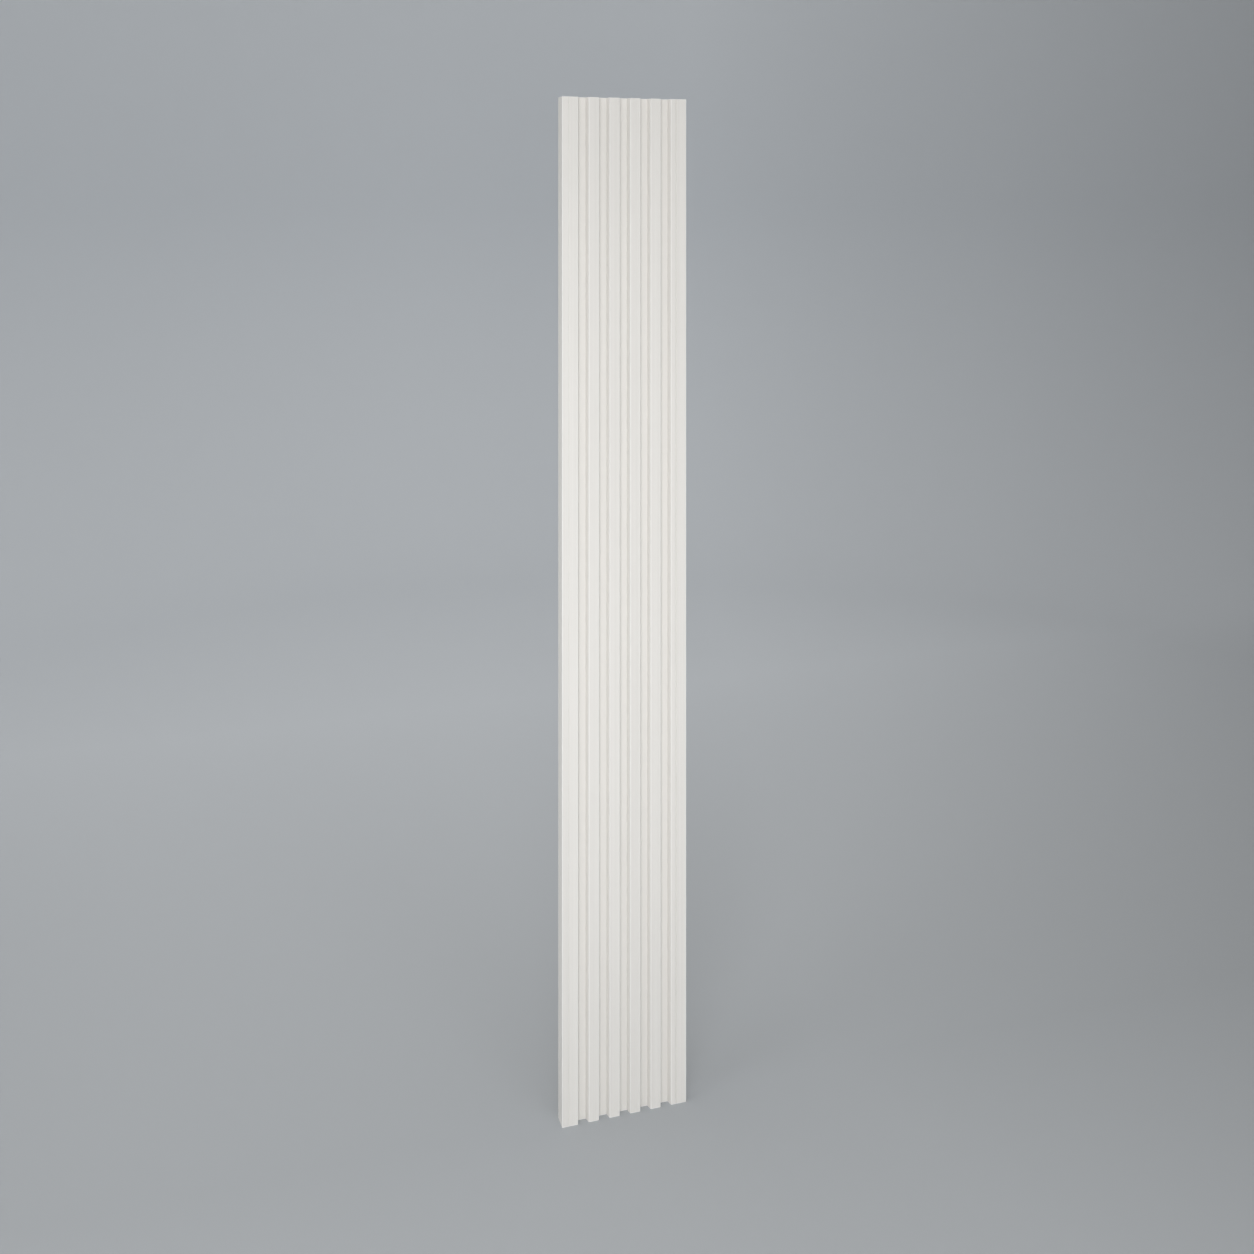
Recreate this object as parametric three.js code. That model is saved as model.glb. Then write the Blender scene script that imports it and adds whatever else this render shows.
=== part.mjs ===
// Fluted pilaster shaft: one moulded panel with straight ribs and flutes over its whole height,
// a flat back and both ends cut square.
// Millimetres, +Z up. The ribs face -Y, and the origin is the centre of the flat back face.

import * as THREE from "three";

// Panel
const panelHeight = 2000;
const backingThickness = 19; // solid moulding behind the flutes

// Flutes, which stand between the ribs
const fluteCount = 5;
const fluteWidth = 21.8; // across the mouth
const fluteDepth = 12;
const fluteDraft = 16; // lean of each side of a flute, in degrees
const rootRadius = 1.2;

// Ribs
const ribWidth = 20.5; // the ribs between two flutes
const edgeRibWidth = 32; // the first and the last rib
const arrisRadius = 0.5;

// Fine lines scored along the two edge ribs, each placed by its share of the rib's width
const leftScoreWidth = 1.2;
const leftScoreDepth = 0.6;
const leftScoreShare = 0.42; // from the panel's left edge
const rightScoreWidth = 1.6;
const rightScoreDepth = 1.3;
const rightScoreShare = 0.67; // from the panel's right edge

// Rounding
const arcSteps = 2; // half the number of straight steps in one rounded corner
const largestSetback = 0.45; // most of a neighbouring face that a rounded corner takes up

// Finish
const finish = { color: 0xe4e2dc, roughness: 0.62, metalness: 0 };

const panelWidth = 2 * edgeRibWidth + (fluteCount - 1) * ribWidth + fluteCount * fluteWidth;
const halfWidth = panelWidth / 2;
const backFace = 0;
const fluteFloor = backFace - backingThickness;
const ribFace = fluteFloor - fluteDepth;
const fluteSideRun = fluteDepth * Math.tan(THREE.MathUtils.degToRad(fluteDraft));

function corner(x, y, radius = 0) {
  return { point: new THREE.Vector2(x, y), radius };
}

// One flute, from the arris on its left to the arris on its right
function fluteCorners(left) {
  const right = left + fluteWidth;
  return [
    corner(left, ribFace, arrisRadius),
    corner(left + fluteSideRun, fluteFloor, rootRadius),
    corner(right - fluteSideRun, fluteFloor, rootRadius),
    corner(right, ribFace, arrisRadius),
  ];
}

// A shallow vee cut into the face of a rib
function scoreCorners(centre, width, depth) {
  return [
    corner(centre - width / 2, ribFace),
    corner(centre, ribFace + depth),
    corner(centre + width / 2, ribFace),
  ];
}

// The section, anticlockwise from the back right corner
function sectionCorners() {
  const leftScore = -halfWidth + leftScoreShare * edgeRibWidth;
  const rightScore = halfWidth - rightScoreShare * edgeRibWidth;
  const corners = [
    corner(halfWidth, backFace),
    corner(-halfWidth, backFace),
    corner(-halfWidth, ribFace, arrisRadius),
    ...scoreCorners(leftScore, leftScoreWidth, leftScoreDepth),
  ];
  for (let index = 0; index < fluteCount; index += 1) {
    const left = -halfWidth + edgeRibWidth + index * (fluteWidth + ribWidth);
    corners.push(...fluteCorners(left));
  }
  corners.push(...scoreCorners(rightScore, rightScoreWidth, rightScoreDepth));
  corners.push(corner(halfWidth, ribFace, arrisRadius));
  return corners;
}

// Draws the outline up to and around one corner, as an arc where it is rounded
function drawCorner(outline, previous, current, next) {
  if (current.radius === 0) {
    outline.lineTo(current.point.x, current.point.y);
    return;
  }
  const arriving = current.point.clone().sub(previous.point);
  const leaving = next.point.clone().sub(current.point);
  const turn = Math.atan2(arriving.cross(leaving), arriving.dot(leaving));
  const halfTurnTangent = Math.tan(Math.abs(turn) / 2);
  const room = largestSetback * Math.min(arriving.length(), leaving.length());
  const setback = Math.min(current.radius * halfTurnTangent, room);
  const radius = setback / halfTurnTangent;
  const along = arriving.normalize();
  const inward = new THREE.Vector2(-along.y, along.x).multiplyScalar(Math.sign(turn) * radius);
  const start = current.point.clone().addScaledVector(along, -setback);
  const centre = start.clone().add(inward);
  const startAngle = Math.atan2(-inward.y, -inward.x);
  outline.absarc(centre.x, centre.y, radius, startAngle, startAngle + turn, turn < 0);
}

function sectionOutline() {
  const corners = sectionCorners();
  const outline = new THREE.Shape();
  outline.moveTo(corners[0].point.x, corners[0].point.y);
  for (let index = 1; index < corners.length; index += 1) {
    const next = corners[(index + 1) % corners.length];
    drawCorner(outline, corners[index - 1], corners[index], next);
  }
  return outline;
}

function flutedPanel() {
  const geometry = new THREE.ExtrudeGeometry(sectionOutline(), {
    depth: panelHeight,
    bevelEnabled: false,
    curveSegments: arcSteps,
  });
  const panel = new THREE.Mesh(geometry, new THREE.MeshStandardMaterial(finish));
  panel.name = "fluted_panel";
  panel.position.z = -panelHeight / 2;
  return panel;
}

const pilaster = new THREE.Group();
pilaster.name = "pilaster";
pilaster.add(flutedPanel());

export default pilaster;
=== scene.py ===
"""A white fluted pilaster shaft, standing upright on a plain pale floor in soft studio light.

Metres, +Z up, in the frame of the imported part: the ribs face -Y and the flat back lies at Y = 0.
"""

import math

import bmesh
import bpy
from mathutils import Matrix, Vector


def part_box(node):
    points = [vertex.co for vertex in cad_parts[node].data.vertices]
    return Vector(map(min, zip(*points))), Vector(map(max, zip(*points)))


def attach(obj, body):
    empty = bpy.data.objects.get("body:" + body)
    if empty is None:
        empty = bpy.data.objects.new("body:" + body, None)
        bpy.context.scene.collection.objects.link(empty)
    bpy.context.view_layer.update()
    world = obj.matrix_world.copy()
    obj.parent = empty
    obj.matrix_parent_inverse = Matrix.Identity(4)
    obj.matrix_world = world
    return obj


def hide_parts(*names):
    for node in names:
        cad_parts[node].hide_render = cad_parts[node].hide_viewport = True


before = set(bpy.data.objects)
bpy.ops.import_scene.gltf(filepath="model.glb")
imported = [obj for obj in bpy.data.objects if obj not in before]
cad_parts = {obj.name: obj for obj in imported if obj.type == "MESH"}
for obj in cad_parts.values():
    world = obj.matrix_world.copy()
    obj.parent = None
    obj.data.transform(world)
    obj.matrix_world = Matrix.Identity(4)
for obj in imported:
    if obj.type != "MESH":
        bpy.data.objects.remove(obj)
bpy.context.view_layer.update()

# The shaft's own box
NODE = "fluted_panel"
LOW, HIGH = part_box(NODE)
WIDTH = HIGH.x - LOW.x
HEIGHT = HIGH.z - LOW.z
FACE_Y = LOW.y
BACK_Y = HIGH.y
FOOT_Z = LOW.z
TOP_Z = HIGH.z

# The section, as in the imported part
FLUTES = 5
EDGE_RIB = 0.032
RIB = 0.0205
FLUTE = (WIDTH - 2 * EDGE_RIB - (FLUTES - 1) * RIB) / FLUTES
FLUTE_DEPTH = 0.012
FLUTE_DRAFT = math.radians(16)
ARRIS_RADIUS = 0.0005
ROOT_RADIUS = 0.0012
LEFT_SCORE_WIDTH = 0.0012
LEFT_SCORE_DEPTH = 0.0006
LEFT_SCORE_SHARE = 0.42
RIGHT_SCORE_WIDTH = 0.0016
RIGHT_SCORE_DEPTH = 0.0013
RIGHT_SCORE_SHARE = 0.67

# Eased edges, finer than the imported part's
BACK_ARRIS = 0.0004
END_ARRIS = 0.0003

# Fineness of the meshes
ARC_STEPS = 5
FLAT_STEP = 0.006
BACK_STEP = 0.012
RING_STEP = 0.02
COVE_STEPS = 24
STAGE_TURNS = 96
MERGE_DISTANCE = 0.00001

# The photograph's camera: its frame, and what was worked out from it
FRAME_PIXELS = 1254
FOCAL_PIXELS = 1300.0
HORIZON_PIXEL = 206.94
SENSOR_MM = 36.0
CAMERA_YAW = math.radians(16.93)

# How far the panel's left front edge is to the right and ahead of it, and how high it stands
CORNER_RIGHT = -0.12585
CORNER_AHEAD = 2.5197
CAMERA_ABOVE_FOOT = 1.7855

# Primer: its tones, with painted shade in the flutes and on their slanted sides and painted highlights on the
# edges, and how strong and how wide they are
PRIMER_DARK = (0.77, 0.748, 0.712, 1)
PRIMER_LIGHT = (0.85, 0.828, 0.791, 1)
# painted shade: a darker, warmer tone deeper in the flutes
FLUTE_PAINTED_SHADE = (0.804, 0.785, 0.75, 1)
# painted shade on the flutes' slanted sides and in the scored lines
SIDE_PAINTED_SHADE = (0.755, 0.736, 0.704, 1)
# painted highlight on the ribs' arrises, round both ends and along the back edges
EDGE_PAINTED_HIGHLIGHT = (0.93, 0.918, 0.895, 1)
BARE_FOAM = (0.78, 0.735, 0.64, 1)
FLUTE_TINT = 0.4
SIDE_TINT = 0.6
TINT_FROM = FLUTE_DEPTH / 6
SIDES_TO = FLUTE_DEPTH * 0.9
EDGE_SPREAD = 0.002
PRIMER_SPECULAR = 0.4
PRIMER_ROUGHNESS = (0.56, 0.68)
BARE_ROUGHER = 0.16

# Noises in the primer: waves to the metre along x, y and z
STREAK_WAVES = (150, 150, 0.5)
BAND_WAVES = (34, 34, 0.35)
MOTTLE_WAVES = (7, 7, 3.2)
DULL_WAVES = (12, 12, 2.5)
PEEL_WAVES = (260, 260, 200)
GRAIN_WAVES = (900, 900, 900)
NOISE_LOW, NOISE_HIGH = 0.3, 0.7

# Shares of the noises in the primer's tone, and heights and strengths of its relief
STREAK_SHARE = 0.55
BAND_SHARE = 0.25
MOTTLE_SHARE = 0.2
STREAK_RELIEF = 0.00006
PEEL_RELIEF = 0.00008
GRAIN_RELIEF = 0.00004
STREAK_STRENGTH = 0.6
FINE_STRENGTH = 0.5

# Stage: its shape, its two tones (the lighter one painted light) and where along Y one turns into the other,
# and a slanted painted shade
FLOOR_RADIUS = 3.6
COVE_RADIUS = 1.8
STAGE_TOP = 4.6
FLOOR_COLOR = (0.463, 0.487, 0.513, 1)
# painted light: the lighter tone far behind and in front, where less light falls
PAINTED_LIGHT_FAR_COLOR = (0.676, 0.71, 0.75, 1)
BEHIND_FROM, BEHIND_TO = 0.0, 2.14
FRONT_FROM, FRONT_TO = -1.5, -4.0
FRONT_SHARE = 0.25
# painted shade: the tone the stage darkens towards on the right
SHADE_COLOR = (0.01, 0.01, 0.01, 1)
SHADE_SLANT = -0.3
SHADE_FROM, SHADE_TO = 0.45, 3.9
SHADE_MOST = 0.4
FLOOR_ROUGHNESS = 0.9
FLOOR_SPECULAR = 0.2

# Light
SKY_COLOR = (1.0, 0.98, 0.946, 1)
SKY_STRENGTH = 0.8
LIGHT_SPREAD = math.radians(120)


def make_camera():
    """Stands where the photograph was taken from, level, with the lens shifted down to frame the shaft."""
    right = Vector((math.cos(CAMERA_YAW), -math.sin(CAMERA_YAW), 0))
    ahead = Vector((math.sin(CAMERA_YAW), math.cos(CAMERA_YAW), 0))
    corner = Vector((LOW.x, FACE_Y, FOOT_Z + CAMERA_ABOVE_FOOT))
    data = bpy.data.cameras.new("camera")
    data.sensor_width = SENSOR_MM
    data.lens = SENSOR_MM * FOCAL_PIXELS / FRAME_PIXELS
    data.shift_y = (HORIZON_PIXEL - FRAME_PIXELS / 2) / FRAME_PIXELS
    camera = bpy.data.objects.new("camera", data)
    camera.location = corner - right * CORNER_RIGHT - ahead * CORNER_AHEAD
    camera.rotation_euler = (math.pi / 2, 0, -CAMERA_YAW)
    bpy.context.scene.collection.objects.link(camera)
    bpy.context.scene.camera = camera


def section_corners():
    """Corners of the section as (x, y, radius), anticlockwise from the back right one."""
    run = FLUTE_DEPTH * math.tan(FLUTE_DRAFT)
    floor_y = FACE_Y + FLUTE_DEPTH
    left_score = LOW.x + LEFT_SCORE_SHARE * EDGE_RIB
    right_score = HIGH.x - RIGHT_SCORE_SHARE * EDGE_RIB
    corners = [
        (HIGH.x, BACK_Y, BACK_ARRIS),
        (LOW.x, BACK_Y, BACK_ARRIS),
        (LOW.x, FACE_Y, ARRIS_RADIUS),
        *score_corners(left_score, LEFT_SCORE_WIDTH, LEFT_SCORE_DEPTH),
    ]
    for index in range(FLUTES):
        left = LOW.x + EDGE_RIB + index * (FLUTE + RIB)
        right = left + FLUTE
        corners += [
            (left, FACE_Y, ARRIS_RADIUS),
            (left + run, floor_y, ROOT_RADIUS),
            (right - run, floor_y, ROOT_RADIUS),
            (right, FACE_Y, ARRIS_RADIUS),
        ]
    corners += score_corners(right_score, RIGHT_SCORE_WIDTH, RIGHT_SCORE_DEPTH)
    corners.append((HIGH.x, FACE_Y, ARRIS_RADIUS))
    return corners


def score_corners(centre, width, depth):
    """A shallow vee cut into the face of a rib."""
    left, right = centre - width / 2, centre + width / 2
    return [(left, FACE_Y, 0), (centre, FACE_Y + depth, 0), (right, FACE_Y, 0)]


def outward(start, end):
    """The normal of a straight stretch of the section."""
    along = (end - start).normalized()
    return Vector((along.y, -along.x))


def corner_arc(previous, corner, following):
    """One corner as (point, normal) pairs along its arc. A sharp corner is one point, with no normal."""
    at, radius = Vector(corner[:2]), corner[2]
    if radius == 0:
        return [(at, None)]
    arriving = (at - Vector(previous[:2])).normalized()
    leaving = (Vector(following[:2]) - at).normalized()
    turn = math.atan2(arriving.cross(leaving), arriving.dot(leaving))
    normal = Vector((arriving.y, -arriving.x))
    spoke = normal * math.copysign(radius, turn)
    centre = at - arriving * radius * math.tan(abs(turn) / 2) - spoke
    turned = [Matrix.Rotation(turn * step / ARC_STEPS, 2) for step in range(ARC_STEPS + 1)]
    return [(centre + rotation @ spoke, rotation @ normal) for rotation in turned]


def section_line():
    """The closed section as stretches: (where it starts, the normal there, the normal where it ends)."""
    corners = section_corners()
    count = len(corners)
    arcs = [corner_arc(corners[i - 1], corners[i], corners[(i + 1) % count]) for i in range(count)]
    line = []
    for index, arc in enumerate(arcs):
        line += [(point, normal, following) for (point, normal), (_, following) in zip(arc, arc[1:])]
        start, end = arc[-1][0], arcs[(index + 1) % count][0][0]
        normal = outward(start, end)
        longest = BACK_STEP if normal.y > 0.99 else FLAT_STEP
        parts = max(1, round((end - start).length / longest))
        line += [(start.lerp(end, part / parts), normal, normal) for part in range(parts)]
    return line


def eased_points(line):
    """The section's points moved inwards by the eased end's arris."""
    return [
        point - (normal + line[index - 1][2]).normalized() * END_ARRIS
        for index, (point, normal, _) in enumerate(line)
    ]


def make_shaft():
    """The whole shaft as one closed mesh: rings of the section up its height, a flat cut at each end."""
    line = section_line()
    points = [point for point, _, _ in line]
    eased = eased_points(line)
    body = HEIGHT - 2 * END_ARRIS
    steps = round(body / RING_STEP)
    rings = [(FOOT_Z, eased)]
    rings += [(FOOT_Z + END_ARRIS + body * step / steps, points) for step in range(steps + 1)]
    rings.append((TOP_Z, eased))
    mesh = bmesh.new()
    loops = [[mesh.verts.new((p.x, p.y, z)) for p in ring] for z, ring in rings]
    normals = []
    for level, (lower, upper) in enumerate(zip(loops, loops[1:])):
        below = -1 if level == 0 else 0
        above = 1 if level == len(loops) - 2 else 0
        for index, (_, start, end) in enumerate(line):
            following = (index + 1) % len(line)
            mesh.faces.new((lower[index], lower[following], upper[following], upper[index]))
            normals += [side_normal(start, below), side_normal(end, below)]
            normals += [side_normal(end, above), side_normal(start, above)]
    mesh.faces.new(list(reversed(loops[0])))
    mesh.faces.new(loops[-1])
    normals += [Vector((0, 0, -1))] * len(line)
    normals += [Vector((0, 0, 1))] * len(line)
    for face in mesh.faces:
        face.smooth = True
    data = bpy.data.meshes.new("shaft")
    mesh.to_mesh(data)
    mesh.free()
    data.normals_split_custom_set(normals)
    shaft = bpy.data.objects.new("shaft", data)
    bpy.context.scene.collection.objects.link(shaft)
    return shaft


def side_normal(normal, lean):
    """A normal of the section in space, which leans fully down or up on the rim of an end."""
    return Vector((0, 0, lean)) if lean else normal.to_3d()


class Nodes:
    """A new material, with short ways to add nodes to it."""

    def __init__(self, name):
        self.material = bpy.data.materials.new(name)
        self.material.use_nodes = True
        self.tree = self.material.node_tree
        self.shader = self.tree.nodes["Principled BSDF"]
        self.place = self.tree.nodes.new("ShaderNodeTexCoord").outputs["Object"]
        split = self.tree.nodes.new("ShaderNodeSeparateXYZ")
        self.plug(split.inputs["Vector"], self.place)
        self.x, self.y, self.z = split.outputs

    def plug(self, socket, value):
        """Joins another node's output to a socket, or sets the socket's own value."""
        if isinstance(value, bpy.types.NodeSocket):
            self.tree.links.new(value, socket)
        else:
            socket.default_value = value

    def add(self, kind, **inputs):
        """A new node, with its inputs by name, a space being written as an underline."""
        node = self.tree.nodes.new(kind)
        for name, value in inputs.items():
            self.plug(node.inputs[name.replace("_", " ")], value)
        return node

    def noise(self, waves, detail=2.0, roughness=0.5, distortion=0.0):
        """Noise with so many waves to the metre along each axis."""
        scaled = self.add("ShaderNodeMapping", Vector=self.place, Scale=waves)
        node = self.add(
            "ShaderNodeTexNoise", Vector=scaled.outputs["Vector"], Scale=1.0,
            Detail=detail, Roughness=roughness, Distortion=distortion,
        )
        return node.outputs["Fac"]

    def span(self, value, low, high, to_low=0.0, to_high=1.0):
        """Maps low..high to to_low..to_high, clamped."""
        node = self.add(
            "ShaderNodeMapRange", Value=value,
            From_Min=low, From_Max=high, To_Min=to_low, To_Max=to_high,
        )
        return node.outputs["Result"]

    def toned(self, noise, low=0.0, high=1.0):
        """Maps a noise's usual range to low..high, clamped."""
        return self.span(noise, NOISE_LOW, NOISE_HIGH, low, high)

    def calc(self, operation, first, second=0.0):
        """One operation of arithmetic on one or two values."""
        node = self.add("ShaderNodeMath")
        node.operation = operation
        self.plug(node.inputs[0], first)
        self.plug(node.inputs[1], second)
        return node.outputs[0]

    def total(self, *values):
        """The sum of several values."""
        result = values[0]
        for value in values[1:]:
            result = self.calc("ADD", result, value)
        return result

    def blend(self, factor, first, second):
        """A colour between two others."""
        node = self.tree.nodes.new("ShaderNodeMixRGB")
        self.plug(node.inputs["Fac"], factor)
        self.plug(node.inputs["Color1"], first)
        self.plug(node.inputs["Color2"], second)
        return node.outputs["Color"]

    def bump(self, height, distance, strength, under=None):
        """A normal roughened by a height, on top of another normal if there is one."""
        node = self.add("ShaderNodeBump", Height=height, Distance=distance, Strength=strength)
        if under is not None:
            self.plug(node.inputs["Normal"], under)
        return node.outputs["Normal"]


def bare_surface(nodes):
    """1 on the faces that carry no primer, the back and the two cut ends, and 0 elsewhere."""
    back = nodes.span(nodes.y, BACK_Y - BACK_ARRIS, BACK_Y - BACK_ARRIS / 4)
    top = nodes.span(nodes.z, TOP_Z - END_ARRIS / 2, TOP_Z - END_ARRIS / 8)
    bottom = nodes.span(nodes.z, FOOT_Z + END_ARRIS / 2, FOOT_Z + END_ARRIS / 8)
    return nodes.calc("MAXIMUM", back, nodes.calc("MAXIMUM", top, bottom))


def painted_edge_highlights(nodes):
    """1 where a highlight is painted, on the ribs' arrises, round both ends and along the back edges."""
    pitch = FLUTE + RIB
    aside = nodes.calc("ABSOLUTE", nodes.x)
    from_flute = nodes.calc("PINGPONG", nodes.calc("MINIMUM", aside, pitch * FLUTES / 2), pitch / 2)
    inner = nodes.span(from_flute, FLUTE / 2, FLUTE / 2 + EDGE_SPREAD, 1, 0)
    outer = nodes.span(aside, WIDTH / 2 - EDGE_SPREAD, WIDTH / 2)
    face = nodes.span(nodes.y, FACE_Y + ARRIS_RADIUS / 2, FACE_Y + ARRIS_RADIUS, 1, 0)
    arrises = nodes.calc("MULTIPLY", nodes.calc("MAXIMUM", inner, outer), face)
    ends = nodes.span(nodes.calc("ABSOLUTE", nodes.z), HEIGHT / 2 - EDGE_SPREAD, HEIGHT / 2)
    back = nodes.span(nodes.y, BACK_Y - EDGE_SPREAD, BACK_Y)
    return nodes.calc("MAXIMUM", nodes.calc("MAXIMUM", arrises, ends), back)


def flute_sides(nodes):
    """1 where shade is painted, on the flutes' slanted sides and down in the scored lines."""
    aside = nodes.calc("ABSOLUTE", nodes.x)
    below_face = nodes.span(nodes.y, FACE_Y + ARRIS_RADIUS, FACE_Y + TINT_FROM)
    above_floor = nodes.span(nodes.y, FACE_Y + SIDES_TO, FACE_Y + FLUTE_DEPTH, 1, 0)
    inside = nodes.span(aside, (WIDTH - EDGE_RIB) / 2, WIDTH / 2, 1, 0)
    return nodes.calc("MULTIPLY", nodes.calc("MULTIPLY", below_face, above_floor), inside)


def primer_color(nodes, streaks, bare):
    """Faint streaks, bands and a mottle, with painted shade deeper in the flutes and on their slanted sides,
    painted highlights on the edges, and a tone of its own on bare foam.
    """
    bands = nodes.noise(BAND_WAVES)
    mottle = nodes.noise(MOTTLE_WAVES, detail=3, roughness=0.55, distortion=0.6)
    tone = nodes.total(
        nodes.toned(streaks, 0, STREAK_SHARE),
        nodes.toned(bands, 0, BAND_SHARE),
        nodes.toned(mottle, 0, MOTTLE_SHARE),
    )
    # painted shade, growing towards the flutes' floors
    depth = nodes.span(nodes.y, FACE_Y + TINT_FROM, FACE_Y + FLUTE_DEPTH, 0, FLUTE_TINT)
    # painted shade on the flutes' slanted sides and in the scored lines
    sides = nodes.calc("MULTIPLY", flute_sides(nodes), SIDE_TINT)
    color = nodes.blend(tone, PRIMER_DARK, PRIMER_LIGHT)
    color = nodes.blend(depth, color, FLUTE_PAINTED_SHADE)
    color = nodes.blend(sides, color, SIDE_PAINTED_SHADE)
    # painted highlights on the arrises, the ends and the back edges
    color = nodes.blend(painted_edge_highlights(nodes), color, EDGE_PAINTED_HIGHLIGHT)
    return nodes.blend(bare, color, BARE_FOAM)


def primer_relief(nodes, streaks):
    """Brushed streaks, a soft orange peel on them and a fine grain over all."""
    peel = nodes.noise(PEEL_WAVES, detail=1)
    grain = nodes.noise(GRAIN_WAVES, roughness=0.6)
    relief = nodes.bump(streaks, STREAK_RELIEF, STREAK_STRENGTH)
    relief = nodes.bump(peel, PEEL_RELIEF, FINE_STRENGTH, relief)
    return nodes.bump(grain, GRAIN_RELIEF, FINE_STRENGTH, relief)


def primer_material():
    """Matt warm-white primer on rigid foam, which shows bare at the back and the ends."""
    nodes = Nodes("primed_moulding")
    streaks = nodes.noise(STREAK_WAVES, detail=4, roughness=0.6)
    bare = bare_surface(nodes)
    dull = nodes.toned(nodes.noise(DULL_WAVES), *PRIMER_ROUGHNESS)
    roughness = nodes.total(dull, nodes.calc("MULTIPLY", bare, BARE_ROUGHER))
    nodes.plug(nodes.shader.inputs["Base Color"], primer_color(nodes, streaks, bare))
    nodes.plug(nodes.shader.inputs["Roughness"], roughness)
    nodes.plug(nodes.shader.inputs["Normal"], primer_relief(nodes, streaks))
    nodes.shader.inputs["Specular IOR Level"].default_value = PRIMER_SPECULAR
    return nodes.material


def make_stage():
    """A round floor that rises in a smooth cove to a plain wall all round, open at the top."""
    outline = [(0.0, 0.0), (FLOOR_RADIUS / 2, 0.0)]
    for step in range(COVE_STEPS + 1):
        angle = math.pi / 2 * step / COVE_STEPS
        rise = COVE_RADIUS * (1 - math.cos(angle))
        outline.append((FLOOR_RADIUS + COVE_RADIUS * math.sin(angle), rise))
    outline.append((FLOOR_RADIUS + COVE_RADIUS, STAGE_TOP))
    mesh = bmesh.new()
    verts = [mesh.verts.new((radius, 0, FOOT_Z + height)) for radius, height in outline]
    edges = [mesh.edges.new(pair) for pair in zip(verts, verts[1:])]
    bmesh.ops.spin(
        mesh, geom=verts + edges, cent=(0, 0, 0), axis=(0, 0, 1), angle=2 * math.pi,
        steps=STAGE_TURNS, use_merge=True, use_duplicate=False,
    )
    bmesh.ops.remove_doubles(mesh, verts=mesh.verts, dist=MERGE_DISTANCE)
    bmesh.ops.recalc_face_normals(mesh, faces=mesh.faces)
    for face in mesh.faces:
        face.smooth = True
    data = bpy.data.meshes.new("floor")
    mesh.to_mesh(data)
    mesh.free()
    data.materials.append(stage_material())
    floor = bpy.data.objects.new("floor", data)
    bpy.context.scene.collection.objects.link(floor)


def stage_material():
    """Plain pale grey with painted light, lighter far behind and in front where less light falls, and painted
    shade, darker to the right.
    """
    nodes = Nodes("floor")
    # painted light: lighter far behind and in front of the shaft
    behind = nodes.span(nodes.y, BEHIND_FROM, BEHIND_TO)
    front = nodes.span(nodes.y, FRONT_FROM, FRONT_TO, 0, FRONT_SHARE)
    far = nodes.total(behind, front)
    # painted shade: darker to the right
    slant = nodes.calc("MULTIPLY", nodes.calc("ABSOLUTE", nodes.y), SHADE_SLANT)
    shade = nodes.span(nodes.total(nodes.x, slant), SHADE_FROM, SHADE_TO, 0, SHADE_MOST)
    color = nodes.blend(far, FLOOR_COLOR, PAINTED_LIGHT_FAR_COLOR)
    nodes.plug(nodes.shader.inputs["Base Color"], nodes.blend(shade, color, SHADE_COLOR))
    nodes.shader.inputs["Roughness"].default_value = FLOOR_ROUGHNESS
    nodes.shader.inputs["Specular IOR Level"].default_value = FLOOR_SPECULAR
    return nodes.material


def area_light(name, azimuth, height, distance, size, power):
    """A soft round light that faces the shaft's middle, its azimuth counted from straight in front."""
    data = bpy.data.lights.new(name, "AREA")
    data.shape = "DISK"
    data.size = size
    data.energy = power
    data.spread = LIGHT_SPREAD
    light = bpy.data.objects.new(name, data)
    turn = math.radians(azimuth)
    light.location = (-math.sin(turn) * distance, -math.cos(turn) * distance, height)
    light.rotation_euler = (-light.location).to_track_quat("-Z", "Y").to_euler()
    light.visible_camera = False
    bpy.context.scene.collection.objects.link(light)


def light_scene():
    """An even pale sky, and three soft lights: the main one, and one to each side of it."""
    world = bpy.data.worlds.new("world")
    world.use_nodes = True
    sky = world.node_tree.nodes["Background"]
    sky.inputs["Color"].default_value = SKY_COLOR
    sky.inputs["Strength"].default_value = SKY_STRENGTH
    bpy.context.scene.world = world
    area_light("key", azimuth=22, height=0.12, distance=3, size=1.8, power=20.2)
    area_light("right_fill", azimuth=-15, height=0.12, distance=3, size=1.8, power=4.9)
    area_light("side_fill", azimuth=70, height=0, distance=2.5, size=1.2, power=4.9)


make_camera()
shaft = make_shaft()
shaft.data.materials.append(primer_material())
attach(shaft, "root")
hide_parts(NODE)
make_stage()
light_scene()
bpy.context.scene.view_settings.view_transform = "Standard"
